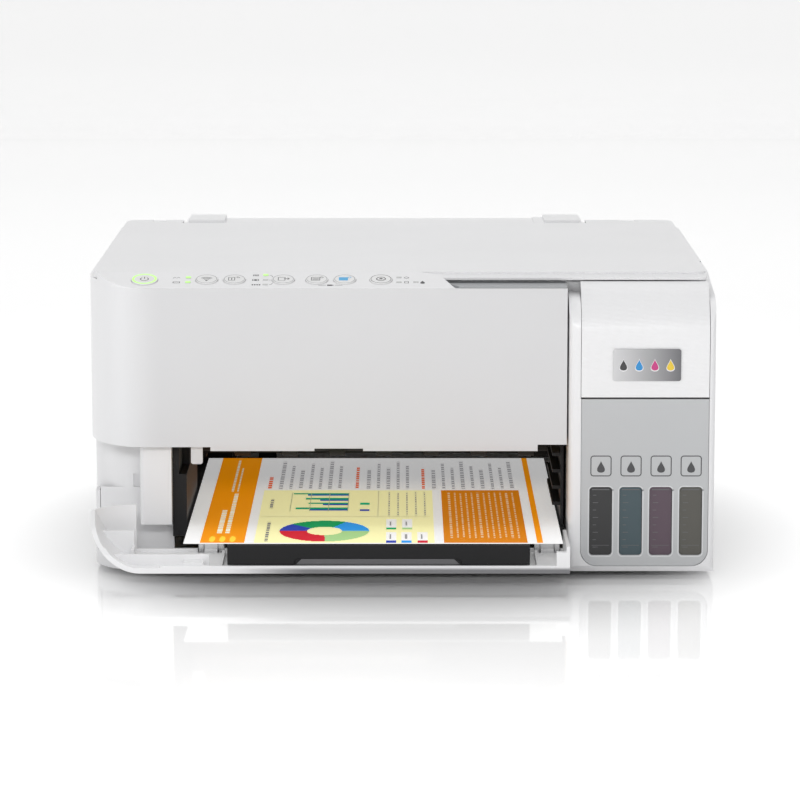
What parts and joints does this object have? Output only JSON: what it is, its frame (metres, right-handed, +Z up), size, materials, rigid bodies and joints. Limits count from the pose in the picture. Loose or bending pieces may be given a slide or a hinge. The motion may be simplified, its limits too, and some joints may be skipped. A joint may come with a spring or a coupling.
{
  "type": "inkjet printer",
  "caption": "Desktop inkjet printer and scanner with hinged lid, refillable ink tanks on the right, open front cover and a printed page on the output tray.",
  "frame": {"origin": "on the table under the middle of the box around the whole printer, front cover open", "axes": "+X to the user's right, +Y to the rear, +Z up"},
  "size_m": [0.375, 0.3982, 0.184],
  "materials": {
    "white_shell": "satin white moulded plastic",
    "white_tex": "white plastic with a fine woven texture",
    "white_key": "white key",
    "black_plastic": "black matt plastic",
    "dark_grey": "dark grey plastic",
    "facia_grey": "light grey plastic",
    "badge_silver": "silver plate",
    "ink_black": "tank of black ink",
    "ink_cyan": "tank of cyan ink",
    "ink_magenta": "tank of magenta ink",
    "ink_yellow": "tank of yellow ink",
    "cap_black": "black cap",
    "cap_cyan": "cyan cap",
    "cap_magenta": "magenta cap",
    "cap_yellow": "yellow cap",
    "tube": "clear tubing",
    "steel": "plated sheet steel",
    "ground_steel": "ground steel bar",
    "rubber": "rubber",
    "board": "circuit board",
    "glass": "clear glass",
    "foam": "white foam",
    "paper": "printed paper",
    "light": "green light guide"
  },
  "bodies": {
    "housing": {"base_tub": "white_shell", "housing_shell": "white_shell", "output_frame": "black_plastic", "rear_cover": "white_shell", "rubber_feet": "rubber", "case_screws": "steel", "ac_inlet": "black_plastic", "usb_port": "steel", "power_supply": "black_plastic", "main_board": "board", "chassis_frame": "steel", "carriage_rail": "ground_steel", "carriage_belt": "rubber", "motors": "steel", "platen": "black_plastic", "maintenance_station": "dark_grey", "paper_hopper": "black_plastic", "tank_housing": "white_shell", "tank_facia": "facia_grey", "ink_tubes": "tube", "printed_sheet": "paper", "ink_tank_black": "ink_black", "ink_tank_cyan": "ink_cyan", "ink_tank_magenta": "ink_magenta", "ink_tank_yellow": "ink_yellow"},
    "tank_cover": {"tank_cover": "white_tex", "badge_plate": "badge_silver"},
    "cap_black": {"tank_cap_black": "cap_black"},
    "cap_cyan": {"tank_cap_cyan": "cap_cyan"},
    "cap_magenta": {"tank_cap_magenta": "cap_magenta"},
    "cap_yellow": {"tank_cap_yellow": "cap_yellow"},
    "carriage": {"carriage": "black_plastic", "print_head": "dark_grey"},
    "left_pulley": {"left_pulley": "white_key"},
    "right_pulley": {"right_pulley": "white_key"},
    "feed_roller": {"feed_roller": "ground_steel"},
    "exit_roller": {"exit_roller": "rubber"},
    "pickup_roller": {"pickup_roller": "rubber"},
    "paper_support": {"paper_support": "white_shell"},
    "edge_guide": {"edge_guide": "dark_grey"},
    "front_cover": {"front_cover": "white_shell"},
    "output_tray": {"output_tray": "black_plastic"},
    "scanner_unit": {"scanner_base": "white_shell", "scanner_glass": "glass", "sensor_rod": "ground_steel", "front_panel": "white_shell", "control_strip": "white_shell", "handhold": "dark_grey", "indicator_lights": "light", "control_board": "board"},
    "scan_sensor": {"scan_sensor": "dark_grey"},
    "document_lid": {"document_lid": "white_tex", "lid_mat": "foam"},
    "power_button": {"power_button": "white_key"},
    "wireless_button": {"wireless_button": "white_key"},
    "network_button": {"network_button": "white_key"},
    "scan_mode_button": {"scan_mode_button": "white_key"},
    "mono_copy_button": {"mono_copy_button": "white_key"},
    "color_copy_button": {"color_copy_button": "white_key"},
    "stop_button": {"stop_button": "white_key"}
  },
  "joints": [
    {"name": "scanner_hinge", "type": "hinge", "parent": "housing", "child": "scanner_unit", "pos_m": [0, 0.1859, 0.172], "axis": [-1, 0, 0], "range_deg": [0, 30]},
    {"name": "lid_hinge", "type": "hinge", "parent": "scanner_unit", "child": "document_lid", "pos_m": [0, 0.1699, 0.1795], "axis": [-1, 0, 0], "range_deg": [0, 80]},
    {"name": "front_cover_hinge", "type": "hinge", "parent": "housing", "child": "front_cover", "pos_m": [0, -0.14135, 0.01875], "axis": [-1, 0, 0], "range_deg": [0, 90], "deforming": ["printed_sheet"]},
    {"name": "output_tray_slide", "type": "slide", "parent": "front_cover", "child": "output_tray", "axis": [0, -1, 0], "range_m": [0, 0.03]},
    {"name": "paper_support_hinge", "type": "hinge", "parent": "housing", "child": "paper_support", "pos_m": [0, 0.1929, 0.176], "axis": [-1, 0, 0], "range_deg": [0, 100]},
    {"name": "tank_cover_hinge", "type": "hinge", "parent": "housing", "child": "tank_cover", "pos_m": [0, -0.1326, 0.1675], "axis": [-1, 0, 0], "range_deg": [0, 85]},
    {"name": "cap_black_hinge", "type": "hinge", "parent": "housing", "child": "cap_black", "pos_m": [0.1197, -0.0986, 0.085], "axis": [-1, 0, 0], "range_deg": [0, 100]},
    {"name": "cap_cyan_hinge", "type": "hinge", "parent": "housing", "child": "cap_cyan", "pos_m": [0.1376, -0.0986, 0.085], "axis": [-1, 0, 0], "range_deg": [0, 100]},
    {"name": "cap_magenta_hinge", "type": "hinge", "parent": "housing", "child": "cap_magenta", "pos_m": [0.1555, -0.0986, 0.085], "axis": [-1, 0, 0], "range_deg": [0, 100]},
    {"name": "cap_yellow_hinge", "type": "hinge", "parent": "housing", "child": "cap_yellow", "pos_m": [0.1734, -0.0986, 0.085], "axis": [-1, 0, 0], "range_deg": [0, 100]},
    {"name": "edge_guide_slide", "type": "slide", "parent": "housing", "child": "edge_guide", "axis": [1, 0, 0], "range_m": [0, 0.11]},
    {"name": "carriage_slide", "type": "slide", "parent": "housing", "child": "carriage", "axis": [1, 0, 0], "range_m": [-0.16, 0.064]},
    {"name": "sensor_slide", "type": "slide", "parent": "scanner_unit", "child": "scan_sensor", "axis": [1, 0, 0], "range_m": [0, 0.27]},
    {"name": "left_pulley_turn", "type": "hinge", "parent": "housing", "child": "left_pulley", "pos_m": [-0.1388, 0.0673, 0.102], "axis": [0, 1, 0], "continuous": true},
    {"name": "right_pulley_turn", "type": "hinge", "parent": "housing", "child": "right_pulley", "pos_m": [0.1588, 0.0673, 0.102], "axis": [0, 1, 0], "continuous": true},
    {"name": "feed_roller_turn", "type": "hinge", "parent": "housing", "child": "feed_roller", "pos_m": [0, 0.0829, 0.062], "axis": [1, 0, 0], "continuous": true},
    {"name": "exit_roller_turn", "type": "hinge", "parent": "housing", "child": "exit_roller", "pos_m": [0, 0.0009, 0.056], "axis": [1, 0, 0], "continuous": true},
    {"name": "pickup_roller_turn", "type": "hinge", "parent": "housing", "child": "pickup_roller", "pos_m": [0, 0.1509, 0.096], "axis": [1, 0, 0], "continuous": true},
    {"name": "power_button_press", "type": "slide", "parent": "scanner_unit", "child": "power_button", "axis": [0, 0.2859, -0.9583], "range_m": [0, 0.0006], "stiffness_N_per_m": 600, "springref_m": -0.0005},
    {"name": "wireless_button_press", "type": "slide", "parent": "scanner_unit", "child": "wireless_button", "axis": [0, 0.2859, -0.9583], "range_m": [0, 0.0006], "stiffness_N_per_m": 600, "springref_m": -0.0005},
    {"name": "network_button_press", "type": "slide", "parent": "scanner_unit", "child": "network_button", "axis": [0, 0.2859, -0.9583], "range_m": [0, 0.0006], "stiffness_N_per_m": 600, "springref_m": -0.0005},
    {"name": "scan_mode_button_press", "type": "slide", "parent": "scanner_unit", "child": "scan_mode_button", "axis": [0, 0.2859, -0.9583], "range_m": [0, 0.0006], "stiffness_N_per_m": 600, "springref_m": -0.0005},
    {"name": "mono_copy_button_press", "type": "slide", "parent": "scanner_unit", "child": "mono_copy_button", "axis": [0, 0.2859, -0.9583], "range_m": [0, 0.0006], "stiffness_N_per_m": 600, "springref_m": -0.0005},
    {"name": "color_copy_button_press", "type": "slide", "parent": "scanner_unit", "child": "color_copy_button", "axis": [0, 0.2859, -0.9583], "range_m": [0, 0.0006], "stiffness_N_per_m": 600, "springref_m": -0.0005},
    {"name": "stop_button_press", "type": "slide", "parent": "scanner_unit", "child": "stop_button", "axis": [0, 0.2859, -0.9583], "range_m": [0, 0.0006], "stiffness_N_per_m": 600, "springref_m": -0.0005}
  ],
  "couplings": [
    {"joint": "left_pulley_turn", "follows": "carriage_slide", "rad_per_m": 200},
    {"joint": "right_pulley_turn", "follows": "carriage_slide", "rad_per_m": 200},
    {"joint": "exit_roller_turn", "follows": "feed_roller_turn", "ratio": 0.8333}
  ]
}
